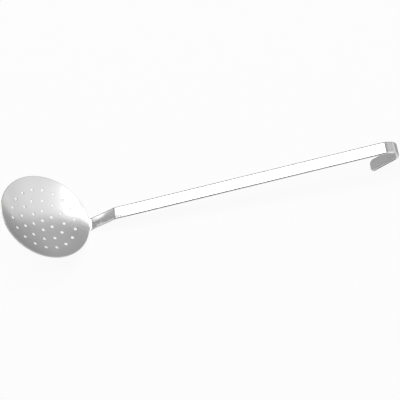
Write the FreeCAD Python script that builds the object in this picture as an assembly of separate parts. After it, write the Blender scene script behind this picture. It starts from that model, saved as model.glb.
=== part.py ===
import FreeCAD, Part
import math
import os

# A kitchen skimmer pressed and bent from one piece of stainless steel sheet: a shallow dish
# full of round holes, a short neck, a long flat handle and a hook that folds back behind it.
# It is drawn with the dish's rim in the XY plane, the handle towards +X and the hollow side
# up, and is then tilted to the way it lies on a table. Millimetres and degrees.

# Sheet and blank
sheet = 2.0                  # thickness of the sheet
strip_width = 17.6           # neck, handle and hook are one strip
root_corner = 4.0            # radius of the blank's inner corners between rim and strip
tip_corner = 6.0             # radius of the blank's corners at the hook's tip

# Dish
dish_diameter = 120.0        # across the rim
dish_depth = 10.8            # from the rim down to the inside of the bottom
hole_diameter = 4.2
ring_pitch = 14.2            # from each ring of holes to the next
ring_counts = (6, 12, 18)    # holes in each ring, from the centre outwards
ring_starts = (30, 0, 10)    # where each ring's first hole lies, in degrees from the handle

# Bends of the strip: angles above the rim's plane, lengths along the middle of the sheet
neck_angle = 63.0
handle_angle = 43.0
neck_step = 1.7              # from the rim out to the neck's upper face, square to it
root_bend_radius = 8.0       # inside radius, where the dish turns up into the neck
neck_length = 37.3           # from the rim to the corner between neck and handle
neck_bend_radius = 10.0
handle_length = 345.9        # from that corner to the start of the hook
hook_easing_turn = 23.0      # the hook starts with a gentle bend
hook_easing_radius = 13.6
hook_flat = 5.4              # short flat between the gentle bend and the tight one
hook_turn = 154.0            # both bends together
hook_radius = 7.9            # of the tight bend
tongue_length = 36.5         # straight end of the hook, behind the handle

# What follows from these sizes
rim_radius = dish_diameter / 2
half_sheet = sheet / 2
ball_radius = (rim_radius ** 2 + dish_depth ** 2) / (2 * dish_depth)
blank_height = dish_depth + 2 * sheet + neck_length
stub_length = neck_length / 2                # the part of the neck that is pressed with the dish
drill_length = 3 * sheet                     # runs past both faces
beyond = 4 * (dish_diameter + ball_radius)   # a cutting block of this size clears the dish

X = FreeCAD.Vector(1, 0, 0)
Y = FreeCAD.Vector(0, 1, 0)
Z = FreeCAD.Vector(0, 0, 1)


def along(angle):
    """Unit vector in the XZ plane that rises at this angle from +X."""
    return FreeCAD.Vector(math.cos(math.radians(angle)), 0, math.sin(math.radians(angle)))


def across(angle):
    """Unit vector square to a strip that rises at this angle, on its upper face."""
    return along(angle + 90)


# The root bend's centre lies off the ball's: by the lift square to the neck, by the reach along it
ball_centre = FreeCAD.Vector(0, 0, ball_radius - dish_depth)
neck_foot = X * rim_radius - across(neck_angle) * neck_step
neck_lift = (neck_foot - ball_centre).dot(across(neck_angle))
bend_lift = neck_lift + root_bend_radius
bend_reach = math.sqrt((ball_radius - root_bend_radius) ** 2 - bend_lift ** 2)
bend_centre = ball_centre + across(neck_angle) * bend_lift - along(neck_angle) * bend_reach
stub_end = neck_foot + along(neck_angle) * stub_length


def cutting_block(point, normal):
    """Everything on the side of a plane that its normal points to."""
    block = Part.makeBox(beyond, beyond, beyond, FreeCAD.Vector(-beyond / 2, -beyond / 2, 0))
    block.Placement = FreeCAD.Placement(point, FreeCAD.Rotation(Z, normal)).multiply(block.Placement)
    return block


def pressed_form(offset):
    """A ball cut off by the neck's plane, with its edge rounded to the bend at the root.

    With offset 0 it is the hollow over the sheet's upper face, and with the sheet's thickness
    it also takes in the sheet. It is turned about an axis square to the neck, and its side
    view is drawn away from the dish, so that the seam lies there too.
    """
    radius = ball_radius + offset
    bend = root_bend_radius + offset
    crease = math.atan2(bend_lift, bend_reach)   # where ball and bend meet

    def point(reach, height):
        return ball_centre + along(neck_angle) * reach + across(neck_angle) * height

    def on_circle(reach, height, size, turn):
        return point(reach + size * math.cos(turn), height + size * math.sin(turn))

    top = point(0, radius)
    leave_ball = on_circle(0, 0, radius, crease)
    meet_neck = point(bend_reach, neck_lift - offset)
    bottom = point(0, neck_lift - offset)
    half_way_down = (crease + math.pi / 2) / 2
    half_way_round = (crease - math.pi / 2) / 2
    side_view = Part.Face(Part.Wire([
        Part.Arc(top, on_circle(0, 0, radius, half_way_down), leave_ball).toShape(),
        Part.Arc(leave_ball, on_circle(bend_reach, bend_lift, bend, half_way_round), meet_neck).toShape(),
        Part.LineSegment(meet_neck, bottom).toShape(),
        Part.LineSegment(bottom, top).toShape(),
    ]))
    return side_view.revolve(ball_centre, across(neck_angle), 360)


def blank_outline():
    """Plan of the disc and of the strip's root, with the rounded inner corners between them."""
    half_width = strip_width / 2
    corner_y = half_width + root_corner
    corner_x = math.sqrt((rim_radius + root_corner) ** 2 - corner_y ** 2)
    centre = FreeCAD.Vector(corner_x, corner_y, 0)
    on_rim = centre * (rim_radius / (rim_radius + root_corner))
    on_strip = FreeCAD.Vector(corner_x, half_width, 0)
    toward = (on_rim + on_strip) * 0.5 - centre
    in_corner = centre + toward.normalize() * root_corner
    end = FreeCAD.Vector(rim_radius + neck_length, half_width, 0)

    def mirrored(point):
        return FreeCAD.Vector(point.x, -point.y, 0)

    return Part.Face(Part.Wire([
        Part.Arc(on_rim, X * -rim_radius, mirrored(on_rim)).toShape(),
        Part.Arc(mirrored(on_rim), mirrored(in_corner), mirrored(on_strip)).toShape(),
        Part.LineSegment(mirrored(on_strip), mirrored(end)).toShape(),
        Part.LineSegment(mirrored(end), end).toShape(),
        Part.LineSegment(end, on_strip).toShape(),
        Part.Arc(on_strip, in_corner, on_rim).toShape(),
    ]))


def dish_and_root():
    """Dish and lower neck: the sheet between two pressed forms, inside the blank's outline."""
    pressed_sheet = pressed_form(sheet).cut(pressed_form(0))
    blank = blank_outline()
    blank.translate(Z * -(dish_depth + 2 * sheet))
    return pressed_sheet.common(blank.extrude(Z * blank_height)).cut(
        cutting_block(stub_end, along(neck_angle)))


def strip_steps():
    """Runs and bends of the strip's middle line, from the stub to the tip."""
    taken_by_bend = neck_bend_radius * math.tan(math.radians(neck_angle - handle_angle) / 2)
    return [
        ("run", neck_length - stub_length - taken_by_bend),
        ("bend", neck_bend_radius, neck_angle - handle_angle),
        ("run", handle_length - taken_by_bend),
        ("bend", hook_easing_radius, hook_easing_turn),
        ("run", hook_flat),
        ("bend", hook_radius, hook_turn - hook_easing_turn),
        ("run", tongue_length),
    ]


def bent_strip():
    """Neck, handle and hook: a side view of even thickness, extruded over the strip's width.

    Also returns the middle of the tip and the angle at which the strip ends there.
    """
    start = stub_end - across(neck_angle) * half_sheet
    place = start
    angle = neck_angle
    upper = []
    lower = []
    for step in strip_steps():
        if step[0] == "run":
            end = place + along(angle) * step[1]
            for edges, side in ((upper, half_sheet), (lower, -half_sheet)):
                shift = across(angle) * side
                edges.append(Part.LineSegment(place + shift, end + shift).toShape())
            place = end
        else:
            radius = step[1]
            turn = step[2]
            centre = place - across(angle) * radius
            for edges, side in ((upper, half_sheet), (lower, -half_sheet)):
                points = [centre + across(angle - turn * part) * (radius + side) for part in (0, 0.5, 1)]
                edges.append(Part.Arc(*points).toShape())
            angle = angle - turn
            place = centre + across(angle) * radius
    first_cap = Part.LineSegment(start - across(neck_angle) * half_sheet,
                                 start + across(neck_angle) * half_sheet).toShape()
    tip_cap = Part.LineSegment(place + across(angle) * half_sheet,
                               place - across(angle) * half_sheet).toShape()
    side_view = Part.Face(Part.Wire([first_cap] + upper + [tip_cap] + lower[::-1]))
    side_view.translate(Y * (-strip_width / 2))
    strip = side_view.extrude(Y * strip_width)
    corners = [place + Y * side for side in (-strip_width / 2, strip_width / 2)]
    tip_edges = [edge for edge in strip.Edges
                 if min(edge.CenterOfMass.distanceToPoint(corner) for corner in corners) < half_sheet / 2]
    return strip.makeFillet(tip_corner, tip_edges), place, angle


def holes():
    """The holes, each square to the dish's curve."""
    spots = [(0, 0)]
    for ring, (count, first) in enumerate(zip(ring_counts, ring_starts), start=1):
        for number in range(count):
            spots.append((ring * ring_pitch, first + number * 360 / count))
    drills = []
    for reach, turn in spots:
        lean = math.asin(reach / ball_radius)
        outward = FreeCAD.Vector(math.sin(lean) * math.cos(math.radians(turn)),
                                 math.sin(lean) * math.sin(math.radians(turn)),
                                 -math.cos(lean))
        above_sheet = ball_centre + outward * (ball_radius - sheet)
        drills.append(Part.makeCylinder(hole_diameter / 2, drill_length, above_sheet, outward))
    return Part.makeCompound(drills)


def resting_tilt(tip, tip_angle):
    """How far the handle's side goes down until root bend and tip both touch the table."""
    gap = tip + across(tip_angle) * half_sheet - bend_centre
    return math.degrees(math.atan2(gap.z, gap.x) + math.asin((root_bend_radius + sheet) / gap.Length))


def skimmer():
    """The whole piece, as it lies on a table, with the table at Z = 0."""
    strip, tip, tip_angle = bent_strip()
    body = dish_and_root().fuse(strip).removeSplitter().cut(holes())
    body.rotate(FreeCAD.Vector(0, 0, 0), Y, resting_tilt(tip, tip_angle))
    box = body.optimalBoundingBox(False, False)
    body.translate(FreeCAD.Vector(-(box.XMin + box.XMax) / 2, -(box.YMin + box.YMax) / 2, -box.ZMin))
    return body.Solids[0]


os.makedirs("parts", exist_ok=True)
skimmer().exportStep("parts/skimmer.step")
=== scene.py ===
import bpy
import math
import numpy as np
from mathutils import Matrix, Vector
from mathutils.geometry import delaunay_2d_cdt


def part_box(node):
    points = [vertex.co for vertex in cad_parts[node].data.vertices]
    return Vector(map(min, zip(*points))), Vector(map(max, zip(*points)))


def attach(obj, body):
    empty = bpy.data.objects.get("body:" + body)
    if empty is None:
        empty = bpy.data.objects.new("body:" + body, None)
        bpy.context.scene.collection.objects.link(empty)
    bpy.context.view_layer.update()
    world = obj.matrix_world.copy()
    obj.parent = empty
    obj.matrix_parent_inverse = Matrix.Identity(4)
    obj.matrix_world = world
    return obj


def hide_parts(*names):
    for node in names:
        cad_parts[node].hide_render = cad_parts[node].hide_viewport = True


# A pierced skimmer in stainless steel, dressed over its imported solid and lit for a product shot.

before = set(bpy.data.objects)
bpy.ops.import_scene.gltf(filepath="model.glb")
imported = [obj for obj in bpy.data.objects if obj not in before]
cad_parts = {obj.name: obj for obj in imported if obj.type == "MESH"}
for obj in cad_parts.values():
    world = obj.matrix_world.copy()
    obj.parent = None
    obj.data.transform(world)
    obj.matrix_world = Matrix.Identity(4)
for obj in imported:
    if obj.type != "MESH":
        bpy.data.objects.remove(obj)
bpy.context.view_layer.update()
scene = bpy.context.scene
print("loaded", sorted(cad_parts))

white = (1, 1, 1, 1)


def srgb(hexText):  # "#rrggbb" to the linear colour that shaders take
    parts = [int(hexText[i:i + 2], 16) / 255 for i in (1, 3, 5)]
    return tuple(p / 12.92 if p <= 0.04045 else ((p + 0.055) / 1.055) ** 2.4 for p in parts) + (1.0,)


def addNode(tree, kind, settings=None, links=None):  # both go by the node's own names or input numbers
    node = tree.nodes.new(kind)
    for key, value in (settings or {}).items():
        if isinstance(key, int) or key in node.inputs:
            node.inputs[key].default_value = value
        else:
            setattr(node, key, value)
    for key, source in (links or {}).items():
        tree.links.new(source, node.inputs[key])
    return node


# the sheet's form

skimmer = {  # millimetres and degrees, as in the solid; the dish's rim lies in XY, the handle runs to +X
    "sheet": 2.0,
    "stripWidth": 17.6,
    "rootCorner": 4.0,
    "tipCorner": 6.0,
    "dishDiameter": 120.0,
    "dishDepth": 10.8,
    "holeDiameter": 4.2,
    "ringPitch": 14.2,
    "rings": ((6, 30), (12, 0), (18, 10)),  # holes in each ring and where its first one lies
    "neckAngle": 63.0,
    "handleAngle": 43.0,
    "neckStep": 1.7,
    "rootBend": 8.0,
    "neckLength": 37.3,
    "neckBend": 10.0,
    "handleLength": 345.9,
    "hookEasing": (13.6, 23.0),  # radius and turn
    "hookFlat": 5.4,
    "hookBend": (7.9, 131.0),
    "tongueLength": 36.5,
    "neckDishing": 0.85,  # how far pressing the dish lifts the neck's edges behind the root bend
    "neckBendDishing": 0.3,  # what is left of that at the neck bend
    "dishingGrows": (61, 3.5),  # where on the blank that begins, and over what length
    "dishingEases": (66, 14),  # the same, for going down to what is left at the neck bend
    "dishingEnds": (93, 20),  # and for dying out on the handle
    "squareReach": 46,  # up to here the dish's lower face lies square under the upper one
    "leanStart": 64,  # from here on the neck's lower face does too
    "edgeRounding": 0.95,  # ground and tumbled outer edges, measured down the cut
    "edgeRoll": 1.8,  # the same, measured across the face
    "rimRoll": 1.3,  # and across the face at the dish's rim
    "rollEasing": 3,  # the distance from the rim in which one goes over into the other
    "holeRounding": 0.2,  # punched edges are crisper
}
meshing = {  # how the sheet is divided: millimetres on the flat blank, or numbers of steps
    "spacing": 3.0,  # between the points of a ring in the dish
    "ringGap": 0.95,  # from ring to ring, in spacings
    "dishReach": 58.6,  # the rings end here
    "rootClear": (54.5, 20),  # and leave out the root, past this X and this close to the middle
    "rootRows": (56.0, 66.0, 36),  # rows across the root bend: first, last and number
    "neckRows": (66.5, 6),  # rows from there to the pressed part's end: first and number
    "runRow": 7,  # widest gap between the rows of a straight run
    "bendRow": 3.5,  # widest turn between the rows of a bend, in degrees
    "lanes": 7,  # points in a row
    "laneInset": 2.2,
    "tipInset": 2.0,
    "besideRoot": ((56.5, 58.6, 3), (-12.5, -10.5, 10.5, 12.5)),  # X and Y of fill points by the root corners
    "edgeClear": 1.6,  # no inner points closer than this to the blank's edge
    "rowClear": 0.3,  # no edge points of a row closer than this to a corner
    "holeClear": 2.3,  # no ring points closer than this to a hole
    "collarGap": 1.4,  # from a hole to the ring of points round it
    "collarSteps": 18,
    "holeSteps": 30,
    "holeEdgeSteps": 2,  # over the rounding of a hole's edge
    "rimSteps": 176,
    "rootCornerSteps": 12,
    "tipCornerSteps": 13,
    "edgeSteps": 5,  # over the rounding of an outer edge
    "heights": (-24.0, 36.0),  # the pressed faces are searched for between these
    "halvings": 44,
    "weld": 1e-5,
}
s = skimmer
sheet, half = s["sheet"], s["sheet"] / 2
rimRadius = s["dishDiameter"] / 2
halfWidth = s["stripWidth"] / 2
holeRadius = s["holeDiameter"] / 2
ballRadius = (rimRadius ** 2 + s["dishDepth"] ** 2) / (2 * s["dishDepth"])


def along(angle):  # unit vectors in the XZ plane
    return np.array([math.cos(math.radians(angle)), math.sin(math.radians(angle))])


def across(angle):
    return along(angle + 90)


neckAlong, neckAcross = along(s["neckAngle"]), across(s["neckAngle"])
ballCentre = np.array([0.0, ballRadius - s["dishDepth"]])
neckFoot = np.array([rimRadius, 0.0]) - neckAcross * s["neckStep"]
neckLift = (neckFoot - ballCentre) @ neckAcross
bendLift = neckLift + s["rootBend"]
bendReach = math.sqrt((ballRadius - s["rootBend"]) ** 2 - bendLift ** 2)
crease = math.atan2(bendLift, bendReach)  # where the ball's curve meets the root bend
stubEnd = neckFoot + neckAlong * s["neckLength"] / 2  # the pressed part ends half way up the neck
taken = s["neckBend"] * math.tan(math.radians(s["neckAngle"] - s["handleAngle"]) / 2)
stripSteps = [  # (length, 0) is a straight run and (radius, turn) is a bend
    (s["neckLength"] / 2 - taken, 0),
    (s["neckBend"], s["neckAngle"] - s["handleAngle"]),
    (s["handleLength"] - taken, 0),
    s["hookEasing"],
    (s["hookFlat"], 0),
    s["hookBend"],
    (s["tongueLength"], 0),
]


def stepLength(size, turn):
    return size * math.radians(turn) if turn else size


def smooth(t):
    t = np.clip(t, 0, 1)
    return t * t * (3 - 2 * t)


def pressedDepth(x, y, z):  # how far a point lies outside the hollow, and which way is out
    px, pz = x - ballCentre[0], z - ballCentre[1]
    height = px * neckAcross[0] + pz * neckAcross[1]
    run = px * neckAlong[0] + pz * neckAlong[1]
    reach = np.hypot(run, y)
    ball = np.arctan2(height, reach) >= crease
    bend = ~ball & (reach > bendReach)
    fromBend = np.hypot(reach - bendReach, height - bendLift)
    fromBall = np.hypot(reach, height)
    depth = np.where(ball, fromBall - ballRadius, np.where(bend, fromBend - s["rootBend"], neckLift - height))
    outReach = np.where(ball, reach / fromBall, np.where(bend, (reach - bendReach) / fromBend, 0))
    outHeight = np.where(ball, height / fromBall, np.where(bend, (height - bendLift) / fromBend, -1))
    outRun, outSide = outReach * run / reach, outReach * y / reach
    out = np.stack([outHeight * neckAcross[0] + outRun * neckAlong[0], outSide,
                    outHeight * neckAcross[1] + outRun * neckAlong[1]], -1)
    return depth, out


def pressedSkin(x, y, offset):  # points and outward directions on one face of the pressed part
    low, high = (np.full(x.shape, height) for height in meshing["heights"])
    for _ in range(meshing["halvings"]):
        middle = (high + low) / 2
        outside = pressedDepth(x, y, middle)[0] > offset
        low = np.where(outside, middle, low)
        high = np.where(outside, high, middle)
    return np.stack([x, y, high], -1), pressedDepth(x, y, high)[1]


def stripMiddle(distance):  # the strip's middle line and its angle, from the stub's end on
    place, angle = stubEnd - neckAcross * half, s["neckAngle"]
    points = np.zeros(distance.shape + (2,))
    angles = np.zeros(distance.shape)
    begin = 0.0
    for number, (size, turn) in enumerate(stripSteps):
        length = stepLength(size, turn)
        here = (distance >= begin - 1e-9) & ((distance <= begin + length) | (number == len(stripSteps) - 1))
        gone = distance - begin
        if turn:
            centre = place - across(angle) * size
            angleHere = angle - np.degrees(gone / size)
            turned = np.stack([np.cos(np.radians(angleHere + 90)), np.sin(np.radians(angleHere + 90))], -1)
            found = centre + turned * size
            angle -= turn
            place = centre + across(angle) * size
        else:
            angleHere = np.full(distance.shape, angle)
            found = place + gone[..., None] * along(angle)
            place = place + along(angle) * length
        points[here], angles[here] = found[here], angleHere[here]
        begin += length
    return points, angles, begin


stripLength = stripMiddle(np.zeros(1))[2]
tipAt = stubEnd[0] + stripLength  # the blank is laid out flat: X in the dish, then length along the strip


def dishing(u, y):  # the neck's edges stand up a little; returns the lift and its slope across
    grown, eased, ended = (smooth((u - s[key][0]) / s[key][1])
                           for key in ("dishingGrows", "dishingEases", "dishingEnds"))
    amount = s["neckDishing"] * grown * (1 - eased)
    amount += s["neckBendDishing"] * eased * (1 - ended)
    return amount * (y / halfWidth) ** 2, amount * 2 * y / halfWidth ** 2


def sheetPoints(flat, lower):  # flat places on the blank to points and normals of one face
    u, y = flat[:, 0], flat[:, 1]
    sign = -1 if lower else 1
    points, normals = np.zeros((len(u), 3)), np.zeros((len(u), 3))
    pressed = u <= stubEnd[0]
    x, side = u[pressed], y[pressed]
    if lower:  # the lower face lies square under the upper one, but straight under it at the rim
        toRim = smooth((np.hypot(x, side) - s["squareReach"]) / (rimRadius - s["squareReach"]))
        upNeck = smooth((x - s["leanStart"]) / (stubEnd[0] - s["leanStart"]))
        spread = 1 + sheet / ballRadius * (1 - toRim)
        lean = upNeck * sheet * math.sin(math.radians(s["neckAngle"]))
        x, side = x * spread + lean, side * spread
    found, out = pressedSkin(x, side, sheet if lower else 0.0)
    points[pressed], normals[pressed] = found, out if lower else -out
    middle, angles, _ = stripMiddle(u[~pressed] - stubEnd[0])
    up = np.stack([-np.sin(np.radians(angles)), np.cos(np.radians(angles))], -1)
    face = middle + up * half * sign
    points[~pressed] = np.stack([face[:, 0], y[~pressed], face[:, 1]], -1)
    normals[~pressed] = np.stack([up[:, 0] * sign, 0 * up[:, 0], up[:, 1] * sign], -1)
    lift, slope = dishing(u, y)
    place = np.where(pressed, stubEnd[0], u) - stubEnd[0]
    angles = stripMiddle(place)[1]
    up = np.stack([-np.sin(np.radians(angles)), 0 * angles, np.cos(np.radians(angles))], -1)
    points = points + up * lift[:, None]
    normals = normals - slope[:, None] * np.array([0, sign, 0])
    return points, normals / np.linalg.norm(normals, axis=1)[:, None]


def rowPlaces():  # where the blank gets a row of points: close in the bends, wide on the runs
    first, count = meshing["neckRows"]
    rows = list(np.linspace(*meshing["rootRows"])) + list(np.linspace(first, stubEnd[0], count))
    begin = stubEnd[0]
    for size, turn in stripSteps:
        length = stepLength(size, turn)
        if turn:
            count = math.ceil(turn / meshing["bendRow"])
        else:
            count = max(2, math.ceil(length / meshing["runRow"]))
        rows += list(begin + np.linspace(0, length, count + 1)[1:])
        begin += length
    return np.array(rows)


def blankOutline(rows):  # the blank's edge, counter-clockwise, with the direction out of it
    corner, tip = s["rootCorner"], s["tipCorner"]
    cornerY = halfWidth + corner
    cornerX = math.sqrt((rimRadius + corner) ** 2 - cornerY ** 2)
    rimEnd = math.atan2(cornerY, cornerX)
    places, outs = [], []
    for a in np.linspace(rimEnd, 2 * math.pi - rimEnd, meshing["rimSteps"]):
        places.append((rimRadius * math.cos(a), rimRadius * math.sin(a)))
        outs.append((math.cos(a), math.sin(a)))
    lower, lowerOuts = [], []
    for a in np.linspace(rimEnd + math.pi, 1.5 * math.pi, meshing["rootCornerSteps"])[1:]:
        lower.append((cornerX + corner * math.cos(a), -(cornerY + corner * math.sin(a))))
        lowerOuts.append((-math.cos(a), math.sin(a)))
    clear = meshing["rowClear"]
    for u in rows[(rows > cornerX + clear) & (rows < tipAt - tip - clear)]:
        lower.append((u, -halfWidth))
        lowerOuts.append((0, -1))
    for a in np.linspace(-math.pi / 2, 0, meshing["tipCornerSteps"]):
        lower.append((tipAt - tip + tip * math.cos(a), -halfWidth + tip + tip * math.sin(a)))
        lowerOuts.append((math.cos(a), math.sin(a)))
    upper = [(u, -y) for u, y in lower[::-1]]
    upperOuts = [(u, -y) for u, y in lowerOuts[::-1]]
    return np.array(places + lower + upper), np.array(outs + lowerOuts + upperOuts)


def holeAxes():
    spots = [(0.0, 0.0)]
    for ring, (count, first) in enumerate(s["rings"], start=1):
        spots += [(ring * s["ringPitch"], math.radians(first + 360 * n / count)) for n in range(count)]
    axes = []
    for reach, turn in spots:
        lean = math.asin(reach / ballRadius)
        axes.append(np.array([math.sin(lean) * math.cos(turn), math.sin(lean) * math.sin(turn),
                              -math.cos(lean)]))
    return axes


def holeRing(axis, radius, ball, count):  # a circle round a hole, on a ball about the dish's centre
    side = np.cross(axis, (0, 1, 0))
    side /= np.linalg.norm(side)
    other = np.cross(axis, side)
    a = np.linspace(0, 2 * math.pi, count, endpoint=False)[:, None]
    centre = np.array([0, 0, ballCentre[1]]) + axis * math.sqrt(ball ** 2 - radius ** 2)
    return centre + radius * (side * np.cos(a) + other * np.sin(a))


class MeshParts:  # points, normals, blank coordinates and faces of the growing mesh
    def __init__(self):
        self.points, self.normals, self.blank, self.faces, self.cut = [], [], [], [], []
        self.count = 0

    def add(self, points, normals, blank):
        self.points.append(points)
        self.normals.append(normals)
        self.blank.append(blank)
        self.count += len(points)
        return np.arange(self.count - len(points), self.count)

    def addFaces(self, faces, isCut):
        self.faces += faces
        self.cut += [isCut] * len(faces)


def edgeProfile(parts, inner, corner, depth, start, flat, steps):
    # rings from the upper face over the rounded edge, down the cut wall and round to the lower face
    (topInner, lowInner), (top, low) = inner, corner
    wall = low - top
    wall /= np.linalg.norm(wall, axis=1)[:, None]
    rings = []
    for skin, edge, down in ((topInner, top, wall), (lowInner, low, -wall)):
        wallPoint = edge + down * depth
        centre = skin + wallPoint - edge
        quarter = []
        for k in range(1, steps + 1):
            a = math.pi / 2 * k / steps
            point = centre + (wallPoint - centre) * math.sin(a) + (skin - centre) * math.cos(a)
            slope = (wallPoint - centre) * math.cos(a) - (skin - centre) * math.sin(a)
            quarter.append((point, slope))
        rings.append(quarter)
    loops = rings[0] + [(p, -t) for p, t in rings[1][::-1]]
    indices = [start[0]]
    for point, slope in loops:
        ahead = np.roll(point, -1, axis=0) - np.roll(point, 1, axis=0)
        normal = np.cross(slope, ahead)
        normal /= np.linalg.norm(normal, axis=1)[:, None]
        indices.append(parts.add(point, normal, flat))
    indices.append(start[1])
    faces = []
    for a, b in zip(indices, indices[1:]):
        a2, b2 = np.roll(a, -1), np.roll(b, -1)
        faces += [tuple(int(v) for v in f) for f in zip(a, b, b2, a2)]
    parts.addFaces(faces, True)


def onSheet(triangle, flat, loopOf, outline, insideLoop):  # not over a hole, and not outside a root corner
    owners = {int(loopOf[v]) for v in triangle}
    if len(owners) > 1 or owners == {insideLoop}:
        return True
    if owners != {0}:
        return False
    x, y = flat[list(triangle)].mean(axis=0)
    ahead = np.roll(outline, -1, axis=0)
    crosses = (outline[:, 1] > y) != (ahead[:, 1] > y)
    a, b = outline[crosses], ahead[crosses]
    reach = a[:, 0] + (y - a[:, 1]) / (b[:, 1] - a[:, 1]) * (b[:, 0] - a[:, 0])
    return int((reach > x).sum()) % 2 == 1


def innerPoints(rows, axes, holePlaces):  # points on the faces: rings in the dish, rows on the strip
    spacing = meshing["spacing"]
    inRings = []
    for radius in np.arange(spacing, meshing["dishReach"], spacing * meshing["ringGap"]):
        count = max(6, round(2 * math.pi * radius / spacing))
        turn = np.linspace(0, 2 * math.pi, count, endpoint=False) + radius
        inRings += [(radius * math.cos(a), radius * math.sin(a)) for a in turn]
    rootX, rootY = meshing["rootClear"]
    inRings = np.array([p for p in inRings if p[0] < rootX or abs(p[1]) > rootY])
    toHole = np.min(np.linalg.norm(inRings[:, None] - holePlaces[None], axis=2), axis=1)
    inRings = inRings[toHole > holeRadius + meshing["holeClear"]]
    side = halfWidth - meshing["laneInset"]
    lanes = np.linspace(-side, side, meshing["lanes"])
    onStrip = np.array([(u, y) for u in rows if u < tipAt - meshing["tipInset"] for y in lanes])
    fillX, fillY = meshing["besideRoot"]
    besideRoot = np.array([(u, y) for u in np.linspace(*fillX) for y in fillY])
    collars = [holeRing(a, holeRadius + meshing["collarGap"], ballRadius, meshing["collarSteps"])[:, :2]
               for a in axes]
    inside = np.vstack([inRings, onStrip, besideRoot] + collars)
    clear = meshing["edgeClear"]
    inDish = np.hypot(inside[:, 0], inside[:, 1]) < rimRadius - clear
    return inside[inDish | (np.abs(inside[:, 1]) < halfWidth - clear)]


def buildSheet():
    parts = MeshParts()
    rows = rowPlaces()
    outline, outward = blankOutline(rows)
    offRim = smooth((np.hypot(outline[:, 0], outline[:, 1]) - rimRadius) / s["rollEasing"])
    roll = s["rimRoll"] + (s["edgeRoll"] - s["rimRoll"]) * offRim
    inset = outline - outward * roll[:, None]
    axes = holeAxes()
    lift, holeCount = s["holeRounding"], meshing["holeSteps"]
    upperRings = [holeRing(a, holeRadius + lift, ballRadius, holeCount) for a in axes]
    inside = innerPoints(rows, axes, np.array([r.mean(axis=0)[:2] for r in upperRings]))

    loops = [inset] + [r[:, :2] for r in upperRings]
    flat, edges = [], []
    count = 0
    for loop in loops:
        edges += [(count + i, count + (i + 1) % len(loop)) for i in range(len(loop))]
        flat.append(loop)
        count += len(loop)
    flat = np.vstack(flat + [inside])
    divided = delaunay_2d_cdt([Vector(p) for p in flat], edges, [], 2, meshing["weld"])
    original = [min(o) for o in divided[3]]
    triangles = [tuple(original[v] for v in f) for f in divided[2]]
    loopOf = np.repeat(np.arange(len(loops) + 1), [len(r) for r in loops] + [len(inside)])
    triangles = [f for f in triangles if onSheet(f, flat, loopOf, inset, len(loops))]

    upper, upperNormals = sheetPoints(flat, False)
    lower, lowerNormals = sheetPoints(flat, True)
    centre = np.array([0, 0, ballCentre[1]])
    size = len(inset)
    holeSpans = [slice(size + n * holeCount, size + (n + 1) * holeCount) for n in range(len(axes))]
    for axis, here in zip(axes, holeSpans):  # a hole's lower ring is on the same cylinder as its upper one
        ring = holeRing(axis, holeRadius + lift, ballRadius + sheet, holeCount)
        lower[here] = ring
        lowerNormals[here] = (ring - centre) / (ballRadius + sheet)
    top = parts.add(upper, upperNormals, flat)
    low = parts.add(lower, lowerNormals, flat)
    parts.addFaces([tuple(int(top[v]) for v in f) for f in triangles], False)
    parts.addFaces([tuple(int(low[v]) for v in f[::-1]) for f in triangles], False)

    edgeProfile(parts, (upper[:size], lower[:size]),
                (sheetPoints(outline, False)[0], sheetPoints(outline, True)[0]),
                s["edgeRounding"], (top[:size], low[:size]), outline, meshing["edgeSteps"])
    order = slice(None, None, -1)  # a hole's edge runs the other way round
    for axis, here in zip(axes, holeSpans):
        edgeProfile(parts, (upper[here][order], lower[here][order]),
                    (holeRing(axis, holeRadius, ballRadius, holeCount)[order],
                     holeRing(axis, holeRadius, ballRadius + sheet, holeCount)[order]),
                    lift, (top[here][order], low[here][order]), flat[here][order], meshing["holeEdgeSteps"])
    return parts


def restingPlace():  # turns and shifts the sheet from the rim's frame onto the table
    points, angles, _ = stripMiddle(np.array([stripLength]))
    tip = points[0] + across(angles[0]) * half
    rootBendCentre = ballCentre + neckAcross * bendLift - neckAlong * bendReach
    gap = tip - rootBendCentre
    outer = s["rootBend"] + sheet
    tilt = math.atan2(gap[1], gap[0]) + math.asin(outer / np.linalg.norm(gap))
    turn = np.array([[math.cos(tilt), 0, math.sin(tilt)], [0, 1, 0], [-math.sin(tilt), 0, math.cos(tilt)]])
    bendStart = sum(stepLength(*step) for step in stripSteps[:stripSteps.index(s["hookBend"])])
    hookStart, hookAngle, _ = stripMiddle(np.array([bendStart]))
    hookCentre = hookStart[0] - across(hookAngle[0]) * s["hookBend"][0]
    furthest = (turn @ np.array([hookCentre[0], 0, hookCentre[1]]))[0] + s["hookBend"][0] + half
    lowest = (turn @ np.array([rootBendCentre[0], 0, rootBendCentre[1]]))[2] - outer
    shift = np.array([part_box("skimmer")[1][0] * 1000 - furthest, 0, -lowest])
    return turn, shift


parts = buildSheet()
turn, shift = restingPlace()
points = (np.vstack(parts.points) @ turn.T + shift) / 1000
normals = np.vstack(parts.normals) @ turn.T
blank = np.vstack(parts.blank)
mesh = bpy.data.meshes.new("skimmerSheet")
mesh.from_pydata(points.tolist(), [], parts.faces)
mesh.polygons.foreach_set("use_smooth", [True] * len(mesh.polygons))
mesh.polygons.foreach_set("material_index", [int(c) for c in parts.cut])
blankMap = mesh.uv_layers.new(name="blank")  # the flat blank in decimetres: the grain follows the bends
loopPoints = np.zeros(len(mesh.loops), dtype=int)
mesh.loops.foreach_get("vertex_index", loopPoints)
blankMap.data.foreach_set("uv", (blank[loopPoints] / 100).ravel())
mesh.normals_split_custom_set_from_vertices(normals.tolist())
mesh.update()
sheetPiece = bpy.data.objects.new("skimmerSheet", mesh)
scene.collection.objects.link(sheetPiece)
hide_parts("skimmer")
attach(sheetPiece, "root")
print("sheet", len(mesh.polygons), "faces, tilt", round(math.degrees(math.acos(turn[0, 0])), 3))


# steel

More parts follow.
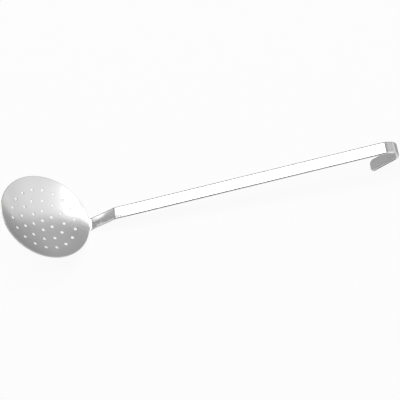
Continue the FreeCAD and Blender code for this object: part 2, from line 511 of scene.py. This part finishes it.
steelLook = {  # lengths in millimetres on the flat blank
    "face": "#dedede",
    "faceRoughness": (0.15, 0.24),
    "polishLine": (16.0, 0.45, 0.0005),  # length, width and depth; real lines are finer than 0.1 wide
    "pressWave": (15.0, 0.016),  # soft unevenness that pressing leaves: width and depth
    "smudge": 24.0,  # patches where wiping has left the polish duller
    "smudgeShare": 0.65,  # how much of the roughness follows the patches
    "lineShare": 0.35,  # and how much the polishing lines
    "edge": "#e2e2e2",
    "edgeRoughness": (0.13, 0.24),
    "grindLine": (3.0, 0.3, 0.0004),
    "patternSpan": (0.3, 0.7),  # the patterns seldom leave these values
    "patternRoughness": 0.55,
}


def newMaterial(name):
    material = bpy.data.materials.new(name)
    material.use_nodes = True
    return material, material.node_tree


def blankPlace(tree, sizeX, sizeY):  # places on the flat blank, counted in pattern sizes
    place = addNode(tree, "ShaderNodeUVMap", {"uv_map": "blank"})
    return addNode(tree, "ShaderNodeVectorMath", {"operation": "MULTIPLY", 1: (100 / sizeX, 100 / sizeY, 1)},
                   {0: place.outputs[0]}).outputs[0]


def noise(tree, sizeX, sizeY, detail):
    settings = {"Scale": 1.0, "Detail": detail, "Roughness": steelLook["patternRoughness"]}
    place = blankPlace(tree, sizeX, sizeY)
    return addNode(tree, "ShaderNodeTexNoise", settings, {"Vector": place}).outputs[0]


def bump(tree, height, depth, normal=None):  # depth in millimetres
    links = {"Height": height}
    if normal:
        links["Normal"] = normal
    return addNode(tree, "ShaderNodeBump", {"Strength": 1.0, "Distance": depth / 1000}, links).outputs[0]


def roughnessFrom(tree, pattern, limits):
    spanLow, spanHigh = steelLook["patternSpan"]
    settings = {"From Min": spanLow, "From Max": spanHigh, "To Min": limits[0], "To Max": limits[1]}
    return addNode(tree, "ShaderNodeMapRange", settings, {"Value": pattern}).outputs[0]


def metal(tree, color):  # the shader of a plain metal
    shader = tree.nodes["Principled BSDF"]
    shader.inputs["Base Color"].default_value = srgb(color)
    shader.inputs["Metallic"].default_value = 1.0
    return shader


def steelSatin():
    # pressed stainless sheet, satin polished along the strip: soft-edged reflections, broken up by fine lines
    material, tree = newMaterial("stainlessSteelSatinPolished")
    shader = metal(tree, steelLook["face"])
    length, width, depth = steelLook["polishLine"]
    lines = noise(tree, length, width, 2.0)
    smudges = noise(tree, steelLook["smudge"], steelLook["smudge"], 3.0)
    mixed = addNode(tree, "ShaderNodeMath", {"operation": "MULTIPLY_ADD", 1: steelLook["lineShare"], 2: 0.0},
                    {0: lines})
    mixed = addNode(tree, "ShaderNodeMath", {"operation": "MULTIPLY_ADD", 1: steelLook["smudgeShare"]},
                    {0: smudges, 2: mixed.outputs[0]})
    roughness = roughnessFrom(tree, mixed.outputs[0], steelLook["faceRoughness"])
    tree.links.new(roughness, shader.inputs["Roughness"])
    waveSize, waveDepth = steelLook["pressWave"]
    waves = bump(tree, noise(tree, waveSize, waveSize, 1.0), waveDepth)
    tree.links.new(bump(tree, lines, depth, waves), shader.inputs["Normal"])
    return material


def steelGround():
    # the cut edge, ground and tumbled round: brighter, with short lines from the grinding belt
    material, tree = newMaterial("stainlessSteelGroundEdge")
    shader = metal(tree, steelLook["edge"])
    length, width, depth = steelLook["grindLine"]
    lines = noise(tree, length, width, 2.0)
    tree.links.new(roughnessFrom(tree, lines, steelLook["edgeRoughness"]), shader.inputs["Roughness"])
    tree.links.new(bump(tree, lines, depth), shader.inputs["Normal"])
    return material


mesh.materials.append(steelSatin())
mesh.materials.append(steelGround())
print("materials", [m.name for m in mesh.materials])


# table, lights and cards

studio = {  # metres; glow is what a white sheet in its place would render as
    "table": "#f2f2f2",
    "tableReach": 6,
    "tableRoughness": 0.9,
    "tableShine": 0.1,
    "tableWhite": 0.9,  # how far the table shows as plain white, the rest is its own light and shade
    "room": "#b3b3b3",  # what the metal sees past the cards
    "backdrop": 0.98,  # what the camera sees past the table's end
    "softboxes": (  # name, place, size, spin and glow; they show in the metal
        ("softboxA", (-0.35, 1.46, 2.46), (3.2, 0.75), -5.1, 3.0),
        ("softboxB", (1.85, 0.65, 2.46), (1.05, 1.7), 0.0, 1.25),
    ),
    "fill": ((0, 0, 3.4), (3.5, 3.5), 0.8),  # an overhead light for the table, not shown in the metal
    # Cards that only the metal's reflections show: name, the axis it stands square to and its place on it,
    # corners on the other two axes and glow. Two corners stand for a rectangle.
    "cards": (
        # a wall on the right in steps of brightness, and a softbox's dimmer edge: the dish's pale upper side
        ("whiteWall", "x", 2.43,
         ((-0.35, 0), (1.65, 0), (1.65, 1.6), (2.1, 2.62), (2.6, 3.8), (-0.35, 3.8)), 0.97),
        ("shadedWall", "x", 2.44, ((1.65, 0), (2.1, 0), (2.05, 1.6), (2.35, 2.62), (1.65, 1.6)), 0.7),
        ("wallStep", "x", 2.42, ((-0.35, 0), (1.6, 0.3)), 0.8),
        ("wallStep", "x", 2.42, ((-0.35, 0.3), (1.6, 0.65)), 0.9),
        ("wallStep", "x", 2.42, ((-0.35, 1.45), (1.6, 1.85)), 1.02),
        ("wallStep", "x", 2.42, ((-0.35, 1.85), (1.6, 2.2)), 1.08),
        ("wallStep", "x", 2.42, ((-0.35, 2.2), (1.6, 2.6)), 1.2),
        ("softboxStep", "z", 2.43, ((2.28, -0.4), (2.41, 1.75)), 1.12),
        ("softboxStep", "z", 2.43, ((2.12, -0.4), (2.28, 1.75)), 1.2),
        ("greyWall", "x", 2.46, ((1.9, 0.5), (4.6, 2.4)), 0.53),
        # the front of the room, right and left of the camera: the dish's grey lower side
        ("darkRight", "x", 2.44, ((-2.4, 0.02), (-0.35, 3.2)), 0.04),
        ("darkFront", "y", -2.4, ((-5, 0.02), (5, 3.2)), 0.27),
        ("darkAbove", "z", 3.2, ((-5, -2.4), (5, -2.4), (5, 0.4), (1.1, 0.4), (1.1, 1.45), (-5, 1.8)), 0.27),
        # flags that end the softboxes, and panels and a dark card at the back: neck, handle and hook
        ("leftFlag", "z", 2.44,
         ((-0.9, 1.85), (-1.04, 1.68), (-0.92, 1.42), (-0.8, 1.1), (-4, 0.9), (-4, 2.6), (-0.9, 2.6)), 0.45),
        ("rightFlag", "z", 2.44,
         ((0.88, 1.75), (1.06, 1.58), (1.25, 1.5), (1.6, 1.5), (1.6, 2.4), (0.88, 2.4)), 0.45),
        ("leftPanel", "z", 2.42, ((-2.24, 1.34), (-3.88, 2.38), (-4.58, 0.16), (-2.16, 0.07)), 1.7),
        ("hookFlag", "z", 0.126, ((0.247, 0.03), (0.275, 0.04), (0.275, 0.11), (0.247, 0.11)), 0.3),
        ("topPanel", "z", 3.15, ((-1.53, 1.39), (-0.7, 0.555), (-0.9, 0.2), (-2.04, 0.51)), 1.7),
        ("darkBack", "y", 2.5, ((-1.95, 0.02), (0.45, 2.75)), 0.12),
        # low and dark cards in front and on the left: hole walls, near edges and the rim
        ("lowFront", "y", -2.36, ((-5, 0), (5, 0.85)), 1.0),
        ("lowLeft", "x", -2.95, ((-2.36, 0), (0.5, 0.85)), 1.4),
        ("darkLeft", "x", -3, ((-2.4, 0.02), (0.3, 3.2)), 0.04),
        ("darkFrontLeft", "y", -2.38, ((-5, 0.02), (-0.6, 3.2)), 0.04),
        ("darkAboveLeft", "z", 3.18, ((-5, -2.4), (-0.6, 0.3)), 0.04),
        # just over the table, painted shade and painted light on it, which only the metal's reflections show:
        # cut edges, hole walls and the hook's tongue
        ("shadedTable", "z", 0.001, ((-3, 0.11), (0.0, 0.11), (3, 2.62), (3, 6), (-3, 6)), 0.4),
        ("deepShade", "z", 0.0015, ((-0.4, 0.112), (0, 0.112), (-0.03, 0.27), (-0.4, 0.27)), 0.28),
        ("nearShade", "z", 0.001,
         ((-3, -2.4), (0.1, -2.4), (0.1, -0.35), (-0.2, -0.2), (-0.42, -0.1), (-0.42, 0.11), (-3, 0.11)),
         0.2),
        # a painted pool of light on the paper under the dish, brighter than the table's white
        ("paintedLightUnderDish", "z", 0.001,
         ((-0.42, -0.1), (-0.2, -0.195), (-0.14, -0.165), (-0.14, 0.11), (-0.42, 0.11)), 1.12),
        # painted shade by the hook: a grey sheet standing just past its end and one on the table beside it
        ("paintedShadeAtHook", "x", 0.263, ((0.004, 0.002), (0.05, 0.036)), 0.45),
        ("paintedShadeByHook", "z", 0.001,
         ((0.232, -0.021), (0.262, -0.024), (0.262, -0.05), (0.6, -0.05), (0.6, 0.3), (0.262, 0.3),
          (0.249, 0.02), (0.249, -0.0105), (0.232, -0.0105)), 0.45),
    ),
}


def whiteTable():
    # white paper: matt and even; it shows as white to the camera and in the metal, and keeps its shadow
    material, tree = newMaterial("whitePaper")
    shader = tree.nodes["Principled BSDF"]
    shader.inputs["Base Color"].default_value = srgb(studio["table"])
    shader.inputs["Roughness"].default_value = studio["tableRoughness"]
    shader.inputs["Specular IOR Level"].default_value = studio["tableShine"]
    path = addNode(tree, "ShaderNodeLightPath").outputs
    seen = path["Is Camera Ray"]
    for other in ("Is Glossy Ray", "Is Transmission Ray"):
        seen = addNode(tree, "ShaderNodeMath", {"operation": "MAXIMUM"}, {0: seen, 1: path[other]}).outputs[0]
    share = addNode(tree, "ShaderNodeMath", {"operation": "MULTIPLY", 1: studio["tableWhite"]}, {0: seen})
    glow = addNode(tree, "ShaderNodeEmission", {"Color": white, "Strength": 1.0})
    both = addNode(tree, "ShaderNodeMixShader", None,
                   {0: share.outputs[0], 1: shader.outputs[0], 2: glow.outputs[0]})
    tree.links.new(both.outputs[0], tree.nodes["Material Output"].inputs["Surface"])
    return material


def flatSheet(name, corners, material):
    flatMesh = bpy.data.meshes.new(name)
    flatMesh.from_pydata(corners, [], [tuple(range(len(corners)))])
    flatMesh.materials.append(material)
    holder = bpy.data.objects.new(name, flatMesh)
    scene.collection.objects.link(holder)
    return holder


def glowing(name, glow):
    material, tree = newMaterial(name)
    light = addNode(tree, "ShaderNodeEmission", {"Color": white, "Strength": glow})
    tree.links.new(light.outputs[0], tree.nodes["Material Output"].inputs["Surface"])
    return material


def card(name, axis, level, corners, glow):
    if len(corners) == 2:
        (a, b), (c, d) = corners
        corners = ((a, b), (c, b), (c, d), (a, d))
    number = "xyz".index(axis)
    places = [corner[:number] + (level,) + corner[number:] for corner in corners]
    holder = flatSheet(name, places, glowing(name, glow))
    holder.visible_camera = holder.visible_diffuse = False
    holder.visible_shadow = holder.visible_transmission = False


def softbox(name, place, size, spin, glow):  # hangs level and shines down
    lamp = bpy.data.lights.new(name, "AREA")
    lamp.shape = "RECTANGLE"
    lamp.size, lamp.size_y = size
    lamp.energy = glow * size[0] * size[1] * math.pi
    holder = bpy.data.objects.new(name, lamp)
    holder.location = place
    holder.rotation_euler = (0, 0, math.radians(spin))
    holder.visible_camera = False
    scene.collection.objects.link(holder)
    return holder


reach = studio["tableReach"]
tableCorners = [(-reach, -reach, 0), (reach, -reach, 0), (reach, reach, 0), (-reach, reach, 0)]
flatSheet("table", tableCorners, whiteTable())
for settings in studio["softboxes"]:
    softbox(*settings)
place, size, glow = studio["fill"]
softbox("fill", place, size, 0, glow).visible_glossy = False
for settings in studio["cards"]:
    card(*settings)

world = bpy.data.worlds.new("room")
world.use_nodes = True
roomTree = world.node_tree
room = roomTree.nodes["Background"]
room.inputs["Color"].default_value = srgb(studio["room"])
backdrop = addNode(roomTree, "ShaderNodeBackground", {"Color": white, "Strength": studio["backdrop"]})
lightPath = addNode(roomTree, "ShaderNodeLightPath")
chosen = addNode(roomTree, "ShaderNodeMixShader", None,
                 {0: lightPath.outputs["Is Camera Ray"], 1: room.outputs[0], 2: backdrop.outputs[0]})
roomTree.links.new(chosen.outputs[0], roomTree.nodes["World Output"].inputs["Surface"])
scene.world = world


# camera

photoCamera = {  # millimetres; found from the rim, the holes, the handle and the hook in the photograph
    "place": (178.2268, -1040.8683, 1572.8892),
    "right": (0.9747152, -0.11502269, -0.19157259),
    "up": (0.20078941, 0.82705638, 0.52503463),
    "back": (0.09805044, -0.55022498, 0.82923976),
    "lens": 135.5203,
    "sensor": 36,
    "shift": (-0.5 / 400, 0.5 / 400),  # half a pixel
    "clip": (0.05, 20),  # metres
}
camera = bpy.data.cameras.new("camera")
camera.sensor_width = photoCamera["sensor"]
camera.lens = photoCamera["lens"]
camera.shift_x, camera.shift_y = photoCamera["shift"]
camera.clip_start, camera.clip_end = photoCamera["clip"]
cameraObject = bpy.data.objects.new("camera", camera)
facing = Matrix([photoCamera[key] for key in ("right", "up", "back")]).transposed()
cameraObject.matrix_world = Matrix.Translation(Vector(photoCamera["place"]) / 1000) @ facing.to_4x4()
scene.collection.objects.link(cameraObject)
scene.camera = cameraObject
scene.view_settings.view_transform = "Standard"
print("studio set")
